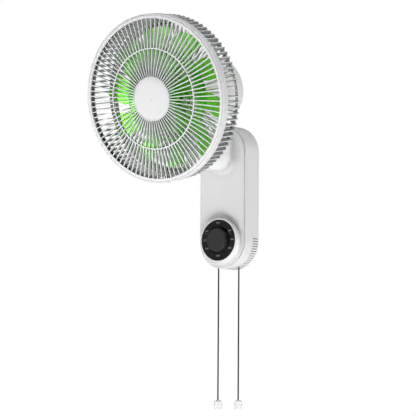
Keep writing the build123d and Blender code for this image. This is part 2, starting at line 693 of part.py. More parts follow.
with BuildPart() as arm_body:
    with BuildSketch(vp(ARM_TC, ARM_V0)):
        SlotCenterToCenter(ARM_CC, 2 * ARM_R, rotation=90)
    extrude(amount=ARM_V1 - ARM_V0)
    fillet(arm_body.edges().filter_by(lambda e: abs((e.center() - HC).dot(V) - ARM_V0) < 0.5), 3.0)
    with BuildSketch(vp(ARM_TC, ARM_V0 + 3.0)):
        SlotCenterToCenter(ARM_CC, 2 * (ARM_R - 2.6), rotation=90)
    extrude(amount=40, mode=Mode.SUBTRACT)
    with BuildSketch(vp(SWING_T, ARM_V0 + 2.0)):
        Circle(10.5)
    extrude(amount=11.0)
    # bosses for the lid screws and the swing motor's ears
    with BuildSketch(vp(ARM_TC, ARM_V0 + 2.0)):
        with Locations((20.2, 18.5), (-20.2, 18.5), (20.2, -12.0), (-20.2, -12.0)):
            Circle(3.2)
    extrude(amount=ARM_V1 - ARM_V0 - 2.0)
    with BuildSketch(vp(ARM_TC, ARM_V0)):
        SlotCenterToCenter(ARM_CC, 2 * (ARM_R + 6), rotation=90)
        SlotCenterToCenter(ARM_CC, 2 * ARM_R, rotation=90, mode=Mode.SUBTRACT)
    extrude(amount=ARM_V1 - ARM_V0, mode=Mode.SUBTRACT)
    # lug on the tilt pin
    with BuildSketch(TP):
        Circle(12.0)
    extrude(amount=13.0, both=True)
    with BuildSketch(vp(SWING_T, PIN_V)):
        Rectangle(26.0, 24.0)
    extrude(amount=ARM_V0 + 2.0 - PIN_V)
    with BuildSketch(TP):
        Circle(PIN_R + 0.06)
    extrude(amount=20, both=True, mode=Mode.SUBTRACT)
    with BuildSketch(vp(SWING_T, ARM_V0 + 3.4)):
        Circle(8.06)
    extrude(amount=20, mode=Mode.SUBTRACT)
    with BuildSketch(vp(ARM_TC, ARM_V1)):
        with Locations((20.2, 18.5), (-20.2, 18.5), (20.2, -12.0), (-20.2, -12.0)):
            Circle(1.25)
    extrude(amount=-14, mode=Mode.SUBTRACT)
arm_body.part.label = "arm_body"
export_step(arm_body.part, "parts/arm_body.step")

with BuildPart() as arm_cover:
    with BuildSketch(vp(ARM_TC, ARM_V1 + 0.05)):
        SlotCenterToCenter(ARM_CC, 2 * ARM_R, rotation=90)
    extrude(amount=ARM_V2 - ARM_V1 - 0.05)
    fillet(arm_cover.edges().filter_by(lambda e: abs((e.center() - HC).dot(V) - ARM_V2) < 0.2), 1.6)
    with BuildSketch(vp(SWING_T, -70.5)):
        Circle(12.0)
    extrude(amount=16.05)
    with BuildSketch(vp(SWING_T, -72)):
        Circle(10.0)
    extrude(amount=20, mode=Mode.SUBTRACT)
    with BuildSketch(vp(ARM_TC, ARM_V1)):
        with Locations((20.2, 18.5), (-20.2, 18.5), (20.2, -12.0), (-20.2, -12.0)):
            Circle(1.6)
    extrude(amount=5, mode=Mode.SUBTRACT)
arm_cover.part.label = "arm_cover"
export_step(arm_cover.part, "parts/arm_cover.step")

with BuildPart() as arm_screws:
    with BuildSketch(vp(ARM_TC, ARM_V2 + 0.02)):
        with Locations((20.2, 18.5), (-20.2, 18.5), (20.2, -12.0), (-20.2, -12.0)):
            Circle(2.4)
    extrude(amount=1.4)
    with BuildSketch(vp(ARM_TC, ARM_V2 + 0.5)):
        with Locations((20.2, 18.5), (-20.2, 18.5), (20.2, -12.0), (-20.2, -12.0)):
            Circle(1.2)
    extrude(amount=-13)
arm_screws.part.label = "arm_screws"
export_step(arm_screws.part, "parts/arm_screws.step")

with BuildPart() as swing_bushing:
    with BuildSketch(vp(SWING_T, -70.5)):
        Circle(9.97)
        Circle(8.06, mode=Mode.SUBTRACT)
    extrude(amount=16.05)
swing_bushing.part.label = "swing_bushing"
export_step(swing_bushing.part, "parts/swing_bushing.step")

SWING_GEAR_PR, PINION_PR = 16.0, 8.0
GEAR_N, PINION_N = 32, 16
GEAR_V0, GEAR_V1 = -76.0, -71.6
MOTOR_T = SWING_T - SWING_GEAR_PR - PINION_PR

with BuildPart() as swing_motor:
    with BuildSketch(vp(MOTOR_T, ARM_V0 + 3.05)):
        Circle(12.3)
    extrude(amount=13.4)
    with BuildSketch(vp(MOTOR_T, ARM_V0 + 14)):
        SlotCenterToCenter(26, 6)
    extrude(amount=1.2)
    with BuildSketch(vp(MOTOR_T, ARM_V0 + 6)):
        Circle(2.06)
    extrude(amount=20, mode=Mode.SUBTRACT)
swing_motor.part.label = "swing_motor"
export_step(swing_motor.part, "parts/swing_motor.step")


def gear_points(z, module, half_gap, phase):
    """Outline of an involute gear, 20 degree pressure angle, thinned for backlash."""
    rp = module * z / 2
    rb = rp * cos(radians(20))
    ro, rr = rp + 0.95 * module, rp - 1.2 * module
    inv = tan(radians(20)) - radians(20)
    half = pi / (2 * z) - half_gap / rp
    out = []
    for k in range(z):
        a0 = phase + 2 * pi * k / z
        flank = []
        for i in range(6):
            r = max(rb, rr) + (ro - max(rb, rr)) * i / 5
            t = sqrt(max((r / rb) ** 2 - 1, 0))
            w = half + inv - (t - acos(min(1, rb / r)))
            flank.append((r, w))
        pts = [(rr, flank[0][1] + 0.01)] + flank
        out += [(r * cos(a0 - w), r * sin(a0 - w)) for r, w in pts]
        out += [(r * cos(a0 + w), r * sin(a0 + w)) for r, w in reversed(pts)]
    return out


with BuildPart() as swing_gear:
    with BuildSketch(vp(SWING_T, GEAR_V0)):
        Polygon(*gear_points(GEAR_N, 1.0, 0.10, -pi / 2), align=None)
        Circle(8.02, mode=Mode.SUBTRACT)
    extrude(amount=GEAR_V1 - GEAR_V0)
swing_gear.part.label = "swing_gear"
export_step(swing_gear.part, "parts/swing_gear.step")

with BuildPart() as swing_pinion:
    with BuildSketch(vp(MOTOR_T, GEAR_V0)):
        Polygon(*gear_points(PINION_N, 1.0, 0.10, pi / 2 + pi / PINION_N), align=None)
    extrude(amount=GEAR_V1 - GEAR_V0)
    with BuildSketch(vp(MOTOR_T, ARM_V0 + 6.2)):
        Circle(2.0)
    extrude(amount=GEAR_V1 - ARM_V0 - 6.2)
swing_pinion.part.label = "swing_pinion"
export_step(swing_pinion.part, "parts/swing_pinion.step")

# ================================================================ head: swing pivot and carrier
with BuildPart() as pivot_tube:
    with BuildSketch(vp(SWING_T, -53.4)):
        Circle(19.0)
    extrude(amount=2.35)
    with BuildSketch(vp(SWING_T, -88.0)):
        Circle(8.0)
    extrude(amount=35)
    with BuildSketch(vp(SWING_T, -77.3)):
        Circle(8.5)
        Circle(7.0, mode=Mode.SUBTRACT)
    extrude(amount=1.2, mode=Mode.SUBTRACT)
    with BuildSketch(vp(SWING_T, -89.0)):
        Circle(5.0)
        with PolarLocations(15.6, 4, 45):
            Circle(1.6)
    extrude(amount=40, mode=Mode.SUBTRACT)
pivot_tube.part.label = "pivot_tube"
export_step(pivot_tube.part, "parts/pivot_tube.step")

with BuildPart() as pivot_clip:
    with BuildSketch(vp(SWING_T, -77.2)):
        Circle(10.0)
        Circle(7.05, mode=Mode.SUBTRACT)
        with Locations((0, 9)):
            Rectangle(8, 8, mode=Mode.SUBTRACT)
    extrude(amount=1.0)
pivot_clip.part.label = "pivot_clip"
export_step(pivot_clip.part, "parts/pivot_clip.step")

with BuildPart() as thrust_washer:
    with BuildSketch(vp(SWING_T, -54.4)):
        Circle(12.4)
        Circle(8.2, mode=Mode.SUBTRACT)
    extrude(amount=0.95)
thrust_washer.part.label = "thrust_washer"
export_step(thrust_washer.part, "parts/thrust_washer.step")

FOOT_T0, FOOT_T1 = 78.0, 138.0
with BuildPart() as swing_carrier:
    with BuildSketch(vp((FOOT_T0 + FOOT_T1) / 2, -51.0)):
        RectangleRounded(52, FOOT_T1 - FOOT_T0 + 11, 4)
        with GridLocations(40, FOOT_T1 - FOOT_T0, 2, 2):
            Circle(2.0, mode=Mode.SUBTRACT)
    extrude(amount=2.4)
    with BuildSketch(vp(SWING_T, -51.5)):
        Circle(5.0)
        with PolarLocations(15.6, 4, 45):
            Circle(1.5)
    extrude(amount=4, mode=Mode.SUBTRACT)
swing_carrier.part.label = "swing_carrier"
export_step(swing_carrier.part, "parts/swing_carrier.step")

with BuildPart() as carrier_screws:
    with BuildSketch(vp(SWING_T, -53.45)):
        with PolarLocations(15.6, 4, 45):
            Circle(2.6)
    extrude(amount=-1.6)
    with BuildSketch(vp(SWING_T, -54)):
        with PolarLocations(15.6, 4, 45):
            Circle(1.45)
    extrude(amount=5.4)
    with BuildSketch(vp((FOOT_T0 + FOOT_T1) / 2, -51.05)):
        with GridLocations(40, FOOT_T1 - FOOT_T0, 2, 2):
            Circle(2.6)
    extrude(amount=-1.6)
    with BuildSketch(vp((FOOT_T0 + FOOT_T1) / 2, -51.6)):
        with GridLocations(40, FOOT_T1 - FOOT_T0, 2, 2):
            Circle(1.45)
    extrude(amount=5.4)
carrier_screws.part.label = "carrier_screws"
export_step(carrier_screws.part, "parts/carrier_screws.step")

# ================================================================ head: motor
STACK_T0, STACK_T1 = 88.0, 128.0
TIE_R = 42.3

with BuildPart() as motor_bracket_front:
    with BuildSketch(RP):
        with BuildLine():
            Polyline((5.5, 58.0), (22.0, 58.0), (22.0, 66.0), (48.0, 66.0), (48.0, 87.95), (45.2, 87.95), (45.2, 70.0),
                     (14.0, 70.0), (11.03, 68.4), (11.03, 60.4), (5.5, 60.4), (5.5, 58.0))
        make_face()
    revolve(axis=HEAD_AXIS)
    with BuildSketch(hp(70.5)):
        with PolarLocations(TIE_R, 4, 45):
            Circle(4.0)
    extrude(amount=-17.45)
    with BuildSketch(hp(68.0)):
        with PolarLocations(TIE_R, 4, 45):
            Circle(1.95)
    extrude(amount=-22, mode=Mode.SUBTRACT)
    with BuildSketch(vp(FOOT_T0, -48.55)):
        with Locations((20, 0), (-20, 0)):
            Rectangle(10, 12)
    extrude(amount=7.5)
    with BuildSketch(hp(87.0)):
        Circle(45.2)
    extrude(amount=16.9, mode=Mode.SUBTRACT)
    with BuildSketch(hp(70.05)):
        with PolarLocations(TIE_R, 4, 45):
            Circle(4.0)
            Circle(1.95, mode=Mode.SUBTRACT)
    extrude(amount=-17.9)
    with BuildSketch(vp(FOOT_T0, -49)):
        with Locations((20, 0), (-20, 0)):
            Circle(1.65)
    extrude(amount=6.5, mode=Mode.SUBTRACT)
    with BuildSketch(hp(64)):
        with PolarLocations(32, 8, 22.5):
            SlotOverall(11, 4.5)
    extrude(amount=-8, mode=Mode.SUBTRACT)
motor_bracket_front.part.label = "motor_bracket_front"
export_step(motor_bracket_front.part, "parts/motor_bracket_front.step")

with BuildPart() as motor_bracket_rear:
    with BuildSketch(RP):
        with BuildLine():
            Polyline((4.6, 154.0), (15.0, 154.0), (15.0, 146.0), (48.0, 146.0), (48.0, 128.05), (45.2, 128.05), (45.2, 142.0),
                     (11.03, 142.0), (11.03, 150.4), (4.6, 150.4), (4.6, 154.0))
        make_face()
    revolve(axis=HEAD_AXIS)
    with BuildSketch(hp(142.1)):
        with PolarLocations(TIE_R, 4, 45):
            Circle(4.0)
    extrude(amount=14.05)
    with BuildSketch(hp(147.0)):
        with PolarLocations(TIE_R, 4, 45):
            Circle(2.1)
    extrude(amount=22, mode=Mode.SUBTRACT)
    with BuildSketch(vp(FOOT_T1, -48.55)):
        with Locations((20, 0), (-20, 0)):
            Rectangle(10, 12)
    extrude(amount=5.2)
    with BuildSketch(vp(FOOT_T1, -49)):
        with Locations((20, 0), (-20, 0)):
            Circle(1.65)
    extrude(amount=6.5, mode=Mode.SUBTRACT)
    # posts that carry the cover
    with BuildSketch(hp(145.5)):
        with Locations((28, COVER_V), (-28, COVER_V)):
            Circle(5.0)
    extrude(amount=-56.4)
    with BuildSketch(hp(203)):
        with Locations((28, COVER_V), (-28, COVER_V)):
            Circle(1.6)
    extrude(amount=16, mode=Mode.SUBTRACT)
    with BuildSketch(hp(141)):
        with PolarLocations(24, 6, 30):
            SlotOverall(10, 4.0)
    extrude(amount=-6, mode=Mode.SUBTRACT)
motor_bracket_rear.part.label = "motor_bracket_rear"
export_step(motor_bracket_rear.part, "parts/motor_bracket_rear.step")

with BuildPart() as stator_core:
    with BuildSketch(hp(STACK_T0)):
        Circle(47.9)
        Circle(25.0, mode=Mode.SUBTRACT)
        with PolarLocations(TIE_R, 4, 45):
            Circle(2.1, mode=Mode.SUBTRACT)
        with PolarLocations(25.6, 16):
            Rectangle(2.4, 1.8, mode=Mode.SUBTRACT)
    extrude(amount=-(STACK_T1 - STACK_T0))
stator_core.part.label = "stator_core"
export_step(stator_core.part, "parts/stator_core.step")

with BuildPart() as stator_windings:
    with BuildSketch(RP):
        with Locations((32.3, 81.5), (32.3, 134.5)):
            RectangleRounded(10.4, 12.9, 3.5)
    revolve(axis=HEAD_AXIS)
stator_windings.part.label = "stator_windings"
export_step(stator_windings.part, "parts/stator_windings.step")

with BuildPart() as bearings:
    with BuildSketch(hp(60.45)):
        Circle(11.0)
        Circle(SHAFT_R + 0.03, mode=Mode.SUBTRACT)
    extrude(amount=-7.0)
    with BuildSketch(hp(150.35)):
        Circle(11.0)
        Circle(SHAFT_R + 0.03, mode=Mode.SUBTRACT)
    extrude(amount=7.0)
    with BuildSketch(hp(67.45)):
        Circle(9.0)
        Circle(6.0, mode=Mode.SUBTRACT)
    extrude(amount=0.6, mode=Mode.SUBTRACT)
    with BuildSketch(hp(143.35)):
        Circle(9.0)
        Circle(6.0, mode=Mode.SUBTRACT)
    extrude(amount=-0.6, mode=Mode.SUBTRACT)
bearings.part.label = "bearings"
export_step(bearings.part, "parts/bearings.step")

with BuildPart() as tie_bolts:
    with BuildSketch(hp(69.0)):
        with PolarLocations(TIE_R, 4, 45):
            Circle(1.9)
    extrude(amount=-78.0)
    with BuildSketch(hp(146.05)):
        with PolarLocations(TIE_R, 4, 45):
            RegularPolygon(3.4, 6)
    extrude(amount=-2.6)
tie_bolts.part.label = "tie_bolts"
export_step(tie_bolts.part, "parts/tie_bolts.step")

RPC = Plane(origin=HC + V * COVER_V, x_dir=(1, 0, 0), z_dir=V)
COVER_AXIS = Axis(HC + V * COVER_V, U)

with BuildPart() as motor_cover:
    with BuildSketch(RPC):
        with BuildLine():
            Polyline((36.0, COVER_T0), (COVER_R - 1.5, COVER_T0))
            RadiusArc((COVER_R - 1.5, COVER_T0), (COVER_R, COVER_T0 + 1.5), -1.5)
            Line((COVER_R, COVER_T0 + 1.5), (COVER_R, COVER_T1 - 14))
            RadiusArc((COVER_R, COVER_T1 - 14), (COVER_R - 14, COVER_T1), -14)
            Polyline((COVER_R - 14, COVER_T1), (0, COVER_T1), (0, COVER_T1 - 2.4), (COVER_R - 14, COVER_T1 - 2.4))
            RadiusArc((COVER_R - 14, COVER_T1 - 2.4), (COVER_R - 2.4, COVER_T1 - 14), 11.6)
            Polyline((COVER_R - 2.4, COVER_T1 - 14), (COVER_R - 2.4, COVER_T0 + 2.4), (36.0, COVER_T0 + 2.4), (36.0, COVER_T0))
        make_face()
    revolve(axis=COVER_AXIS)
    with BuildSketch(hp(COVER_T0 - 1)):
        Circle(MOTOR_R + 0.6)
    extrude(amount=-6, mode=Mode.SUBTRACT)
    # pivot opening
    with BuildSketch(vp(SWING_T, -66)):
        Circle(21.5)
    extrude(amount=30, mode=Mode.SUBTRACT)
    # rear air slots and screw holes
    with BuildSketch(hp(COVER_T1 + 1, COVER_V)):
        with Locations((0, 24), (0, 16), (0, -16), (0, -24)):
            SlotOverall(44, 3)
        with Locations((0, 8), (0, 0), (0, -8)):
            SlotOverall(34, 3)
        with Locations((28, 0), (-28, 0)):
            Circle(1.9)
    extrude(amount=5, mode=Mode.SUBTRACT)
motor_cover.part.label = "motor_cover"
export_step(motor_cover.part, "parts/motor_cover.step")

with BuildPart() as cover_screws:
    with BuildSketch(hp(COVER_T1 + 0.03, COVER_V)):
        with Locations((28, 0), (-28, 0)):
            Circle(3.2)
    extrude(amount=-1.8)
    with BuildSketch(hp(COVER_T1 + 0.5, COVER_V)):
        with Locations((28, 0), (-28, 0)):
            Circle(1.55)
    extrude(amount=14)
    with BuildSketch(hp(COVER_T1 + 2.0, COVER_V)):
        with Locations((28, 0), (-28, 0)):
            Rectangle(4.2, 0.9)
            Rectangle(0.9, 4.2)
    extrude(amount=1.1, mode=Mode.SUBTRACT)
cover_screws.part.label = "cover_screws"
export_step(cover_screws.part, "parts/cover_screws.step")

# ================================================================ head: rear guard
with BuildPart() as rear_rib:
    with BuildSketch(RP):
        Polygon((152.8, 12.4), (152.8, 53.8), (151.3, 56.8), (139.0, 68.4), (136.0, 69.2), (67.0, 65.8), (67.0, 61.4),
                (131.8, 62.6), (144.6, 50.0), (144.6, 12.4), align=None)
    extrude(amount=0.85, both=True)
rear_rib_solid = rear_rib.part.solids()[0]

with BuildPart() as rear_grille:
    with BuildSketch(RP):
        with BuildLine():
            Polyline((RIM_R + 0.3, 0.4), (BAND_R - 1.1, 0.4))
            RadiusArc((BAND_R - 1.1, 0.4), (BAND_R, 1.5), -1.1)
            Polyline((BAND_R, 1.5), (BAND_R, 13.5), (BAND_R - 0.8, 14.3), (148.2, 14.3), (148.2, 11.6), (RIM_R + 0.3, 11.6),
                     (RIM_R + 0.3, 0.4))
        make_face()
    revolve(axis=HEAD_AXIS)
    with BuildSketch(RP):
        with BuildLine():
            Polyline((145.9, 55.4), (147.2, 56.7), (136.1, 67.7), (134.8, 66.4), (145.9, 55.4))
        make_face()
        with BuildLine():
            Polyline((22.25, 62.0), (69.0, 62.0), (69.0, 65.9), (22.25, 65.9), (22.25, 62.0))
        make_face()
    revolve(axis=HEAD_AXIS)
    add([rear_rib_solid.rotate(HEAD_AXIS, k * 360 / N_REAR) for k in range(N_REAR)])
    # lug for the guard screw
    with BuildSketch(hp(11.2, -146.0)):
        Rectangle(12, 7)
    extrude(amount=-4.0)
    with BuildSketch(hp(6.0, -145.8)):
        Circle(1.9)
    extrude(amount=-12, mode=Mode.SUBTRACT)
rear_grille.part.label = "rear_grille"
export_step(rear_grille.part, "parts/rear_grille.step")

with BuildPart() as grille_nut:
    with BuildSketch(hp(61.9)):
        Circle(36.0)
        Circle(22.1, mode=Mode.SUBTRACT)
        with PolarLocations(37.5, 8):
            Circle(5, mode=Mode.SUBTRACT)
    extrude(amount=4.0)
grille_nut.part.label = "grille_nut"
export_step(grille_nut.part, "parts/grille_nut.step")

# ================================================================ head: front guard
with BuildPart() as inner_spoke:
    with BuildSketch(RP):
        Polygon((39.0, -8.3), (60.0, -7.2), (80.0, -5.5), (92.0, -4.2), (92.0, 0.6), (80.0, 0.0), (60.0, -1.7), (39.0, -2.8), align=None)
    extrude(amount=0.8, both=True)
inner_spoke_solid = inner_spoke.part.solids()[0]

with BuildPart() as outer_spoke:
    with BuildSketch(RP):
        Polygon((91.9, -4.2), (110.0, -3.0), (130.0, -1.5), (148.0, -0.3), (148.0, 1.6), (141.0, 2.8), (130.0, 3.6), (110.0, 2.4),
                (91.9, 1.2), align=None)
    extrude(amount=0.9, both=True)
outer_spoke_solid = outer_spoke.part.solids()[0]

with BuildPart() as front_grille:
    with BuildSketch(RP):
        with BuildLine():
            Polyline((RIM_IN, -0.4), (RIM_IN + 0.6, -0.9), (RIM_R - 1.5, -0.9))
            RadiusArc((RIM_R - 1.5, -0.9), (RIM_R, 0.6), -1.5)
            Polyline((RIM_R, 0.6), (RIM_R, 8.0), (RIM_R - 1.9, 8.0), (RIM_R - 1.9, 2.0), (RIM_IN, 2.0), (RIM_IN, -0.4))
        make_face()
    revolve(axis=HEAD_AXIS)
    with BuildSketch(RP):
        with BuildLine():
            Polyline((90.9, -4.3), (93.1, -4.1), (93.1, 1.2), (90.9, 1.2), (90.9, -4.3))
        make_face()
        with BuildLine():
            Polyline((0, -6.0), (38.9, -6.0), (38.9, -8.3), (39.2, -8.6), (40.4, -8.6), (CAP_R, -8.1), (CAP_R, -2.6), (38.6, -2.6), (38.6, -4.2), (0, -4.2), (0, -6.0))
        make_face()
    revolve(axis=HEAD_AXIS)
    add([inner_spoke_solid.rotate(HEAD_AXIS, 90 + k * 360 / N_IN) for k in range(N_IN)]
        + [outer_spoke_solid.rotate(HEAD_AXIS, 90 + k * 360 / N_OUT) for k in range(N_OUT)])
    # lug for the guard screw
    with BuildSketch(hp(11.1, -146.6)):
        Rectangle(12, 6)
    extrude(amount=10.0)
    with BuildSketch(hp(12.2, -145.8)):
        Circle(1.5)
    extrude(amount=9, mode=Mode.SUBTRACT)
front_grille.part.label = "front_grille"
export_step(front_grille.part, "parts/front_grille.step")

with BuildPart() as guard_screw:
    with BuildSketch(hp(15.25, -145.8)):
        Circle(2.9)
    extrude(amount=-1.8)
    with BuildSketch(hp(15.7, -145.8)):
        Circle(1.45)
    extrude(amount=11)
guard_screw.part.label = "guard_screw"
export_step(guard_screw.part, "parts/guard_screw.step")

with BuildPart() as grille_cap:
    with BuildSketch(RP):
        with BuildLine():
            Line((0, -6.05), (0, -9.2))
            Line((0, -9.2), (30.0, -9.0))
            RadiusArc((30.0, -9.0), (38.55, -8.3), -52)
            Polyline((38.55, -8.3), (38.55, -6.05), (0, -6.05))
        make_face()
    revolve(axis=HEAD_AXIS)
grille_cap.part.label = "grille_cap"
export_step(grille_cap.part, "parts/grille_cap.step")

# ================================================================ spinning group
with BuildPart() as motor_shaft:
    with BuildSketch(hp(21.0)):
        Circle(SHAFT_R)
    extrude(amount=-(150.2 - 21.0))
    with BuildSketch(vp(53.0, -20)):
        Circle(1.55)
    extrude(amount=40, mode=Mode.SUBTRACT)
motor_shaft.part.label = "motor_shaft"
export_step(motor_shaft.part, "parts/motor_shaft.step")

with BuildPart() as drive_pin:
    with BuildSketch(vp(53.0, -11)):
        Circle(1.5)
    extrude(amount=22)
drive_pin.part.label = "drive_pin"
export_step(drive_pin.part, "parts/drive_pin.step")

with BuildPart() as rotor_core:
    with BuildSketch(hp(STACK_T0)):
        Circle(24.5)
        Circle(SHAFT_R + 0.02, mode=Mode.SUBTRACT)
        with PolarLocations(21.5, 20):
            Circle(1.4, mode=Mode.SUBTRACT)
    extrude(amount=-(STACK_T1 - STACK_T0))
    with BuildSketch(RP):
        with BuildLine():
            Polyline((19.0, STACK_T0 + 0.5), (19.0, STACK_T0 - 4.0), (24.2, STACK_T0 - 4.0), (24.2, STACK_T0 + 0.5), (19.0, STACK_T0 + 0.5))
        make_face()
        with BuildLine():
            Polyline((19.0, STACK_T1 - 0.5), (19.0, STACK_T1 + 4.0), (24.2, STACK_T1 + 4.0), (24.2, STACK_T1 - 0.5), (19.0, STACK_T1 - 0.5))
        make_face()
    revolve(axis=HEAD_AXIS)
rotor_core.part.label = "rotor_core"
export_step(rotor_core.part, "parts/rotor_core.step")

BLADE_TM = 40.0          # mid depth of the blades
RING_T0, RING_T1 = 27.0, 54.0
OUTER_N, INNER_N = 10, 5
OUTER_A0, INNER_A0 = 30.0, 78.0     # clockwise from the top, seen from the front


def blade_plane(rho, clock):
    """Plane across a blade at distance rho from the axis; local x runs clockwise, local y runs back."""
    a = radians(clock)
    radial = Vector(1, 0, 0) * sin(a) + V * cos(a)
    tangent = Vector(1, 0, 0) * cos(a) - V * sin(a)
    return Plane(origin=HC + U * BLADE_TM + radial * rho, x_dir=tangent, z_dir=tangent.cross(U))


def strip(w, d, camber, th):
    """Corner and spline points of a thin cambered section, w wide and d deep."""
    front, back = [], []
    for i in range(5):
        q = -1 + i / 2
        y = q * d / 2 + camber * (1 - q * q)
        front.append((q * w / 2, y - th / 2))
        back.append((q * w / 2, y + th / 2))
    return front, back


with BuildPart() as outer_blade:
    for rho, w, d in ((73.0, 30.0, 21.0), (90.0, 39.0, 20.5), (108.0, 45.5, 19.5), (122.0, 46.0, 18.0), (131.5, 40.0, 16.0)):
        f, b = strip(w, d, 2.6, 1.8)
        with BuildSketch(blade_plane(rho, OUTER_A0 + 0.2 * (rho - 105))):
            with BuildLine():
                Spline(*f)
                Line(f[-1], b[-1])
                Spline(*reversed(b))
                Line(b[0], f[0])
            make_face()
    loft()
    with BuildSketch(hp(20)):
        Circle(180)
        Circle(BLADE_R, mode=Mode.SUBTRACT)
    extrude(amount=-45, mode=Mode.SUBTRACT)
    with BuildSketch(hp(20)):
        Circle(RING_R - 0.9)
    extrude(amount=-45, mode=Mode.SUBTRACT)
outer_blade_solid = outer_blade.part.solids()[0]

with BuildPart() as inner_blade:
    for rho, w, d in ((17.0, 13.0, 20.0), (38.0, 31.0, 22.0), (60.0, 48.0, 22.0), (81.0, 60.0, 20.0)):
        f, b = strip(w, d, 2.4, 1.9)
        with BuildSketch(blade_plane(rho, INNER_A0 + 0.2 * (rho - 55))):
            with BuildLine():
                Spline(*f)
                Line(f[-1], b[-1])
                Spline(*reversed(b))
                Line(b[0], f[0])
            make_face()
    loft()
    with BuildSketch(hp(20)):
        Circle(180)
        Circle(RING_R - 0.9, mode=Mode.SUBTRACT)
    extrude(amount=-45, mode=Mode.SUBTRACT)
inner_blade_solid = inner_blade.part.solids()[0]

with BuildPart() as impeller:
    with BuildSketch(RP):
        with BuildLine():
            Polyline((SHAFT_R + 0.04, 29.5), (19.0, 29.5), (20.0, 30.5), (20.0, 57.0), (SHAFT_R + 0.04, 57.0), (SHAFT_R + 0.04, 29.5))
        make_face()
        with BuildLine():
            Polyline((RING_R - 1.8, RING_T0), (RING_R, RING_T0), (RING_R, RING_T1), (RING_R - 1.8, RING_T1), (RING_R - 1.8, RING_T0))
        make_face()
    revolve(axis=HEAD_AXIS)
    add([inner_blade_solid.rotate(HEAD_AXIS, k * 360 / INNER_N) for k in range(INNER_N)]
        + [outer_blade_solid.rotate(HEAD_AXIS, k * 360 / OUTER_N) for k in range(OUTER_N)])
    with BuildSketch(hp(28)):
        Circle(SHAFT_R + 0.04)
    extrude(amount=-32, mode=Mode.SUBTRACT)
    with BuildSketch(hp(57.5)):
        Rectangle(3.1, 23)
    extrude(amount=6.1, mode=Mode.SUBTRACT)
impeller.part.label = "impeller"
export_step(impeller.part, "parts/impeller.step")

with BuildPart() as blade_nut:
    with BuildSketch(RP):
        with BuildLine():
            Polyline((0, 17.0), (9.0, 17.4))
            RadiusArc((9.0, 17.4), (16.5, 23.0), -9.5)
            Polyline((16.5, 23.0), (17.5, 29.4), (SHAFT_R + 0.03, 29.4), (SHAFT_R + 0.03, 20.8), (0, 20.8), (0, 17.0))
        make_face()
    revolve(axis=HEAD_AXIS)
blade_nut.part.label = "blade_nut"
export_step(blade_nut.part, "parts/blade_nut.step")
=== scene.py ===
import bpy, bmesh, json, math
from mathutils import Matrix, Vector


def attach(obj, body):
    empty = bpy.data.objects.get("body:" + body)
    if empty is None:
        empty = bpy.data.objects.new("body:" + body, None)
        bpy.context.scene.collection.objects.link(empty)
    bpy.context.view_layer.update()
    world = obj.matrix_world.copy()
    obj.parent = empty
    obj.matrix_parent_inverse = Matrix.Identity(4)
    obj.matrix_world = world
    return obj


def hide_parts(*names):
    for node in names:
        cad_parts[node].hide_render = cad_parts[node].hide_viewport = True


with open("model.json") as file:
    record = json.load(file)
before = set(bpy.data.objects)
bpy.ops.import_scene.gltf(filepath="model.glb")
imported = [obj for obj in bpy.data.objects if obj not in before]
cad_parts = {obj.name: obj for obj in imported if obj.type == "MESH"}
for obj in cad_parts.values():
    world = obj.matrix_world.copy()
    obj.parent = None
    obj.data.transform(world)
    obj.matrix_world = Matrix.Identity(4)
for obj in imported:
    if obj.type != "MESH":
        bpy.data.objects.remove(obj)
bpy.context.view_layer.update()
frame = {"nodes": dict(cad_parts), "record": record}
scene = bpy.context.scene
nodes = frame["nodes"]
MM = 0.001

# ---------------------------------------------------------------- camera
cam_data = bpy.data.cameras.new("camera")
cam = bpy.data.objects.new("camera", cam_data)
scene.collection.objects.link(cam)
cam_right = Vector((0.80899873, 0.58777690, 0.00627507))
cam_up = Vector((0.04705381, -0.07539717, 0.99604277))
cam_back = Vector((0.58592405, -0.80550207, -0.08865336))
cam_at = Vector((2.61053348, -3.67986787, -0.41978056))
cam.matrix_world = Matrix((
    (cam_right.x, cam_up.x, cam_back.x, cam_at.x),
    (cam_right.y, cam_up.y, cam_back.y, cam_at.y),
    (cam_right.z, cam_up.z, cam_back.z, cam_at.z),
    (0.0, 0.0, 0.0, 1.0)))
cam_data.sensor_width = 36.0
cam_data.lens = 205.26
cam_data.clip_start, cam_data.clip_end = 0.05, 60.0
scene.camera = cam
scene.view_settings.view_transform = "Standard"
scene.view_settings.look = "None"


# ---------------------------------------------------------------- material helpers
def new_mat(name):
    m = bpy.data.materials.new(name)
    m.use_nodes = True
    nt = m.node_tree
    nt.nodes.clear()
    out = nt.nodes.new("ShaderNodeOutputMaterial")
    bs = nt.nodes.new("ShaderNodeBsdfPrincipled")
    nt.links.new(bs.outputs["BSDF"], out.inputs["Surface"])
    return m, nt, bs


def coords(nt):
    t = nt.nodes.new("ShaderNodeTexCoord")
    return t.outputs["Object"]


def noise(nt, vec, scale, detail=3.0, rough=0.55):
    n = nt.nodes.new("ShaderNodeTexNoise")
    n.inputs["Scale"].default_value = scale
    n.inputs["Detail"].default_value = detail
    n.inputs["Roughness"].default_value = rough
    nt.links.new(vec, n.inputs["Vector"])
    return n.outputs["Fac"]


def math_node(nt, op, a, b=None, clamp=False):
    n = nt.nodes.new("ShaderNodeMath")
    n.operation = op
    n.use_clamp = clamp
    for i, v in enumerate((a, b)):
        if v is None:
            continue
        if isinstance(v, (int, float)):
            n.inputs[i].default_value = v
        else:
            nt.links.new(v, n.inputs[i])
    return n.outputs[0]


def span(nt, val, lo, hi, out_lo, out_hi):
    n = nt.nodes.new("ShaderNodeMapRange")
    n.inputs["From Min"].default_value = lo
    n.inputs["From Max"].default_value = hi
    n.inputs["To Min"].default_value = out_lo
    n.inputs["To Max"].default_value = out_hi
    nt.links.new(val, n.inputs["Value"])
    return n.outputs["Result"]


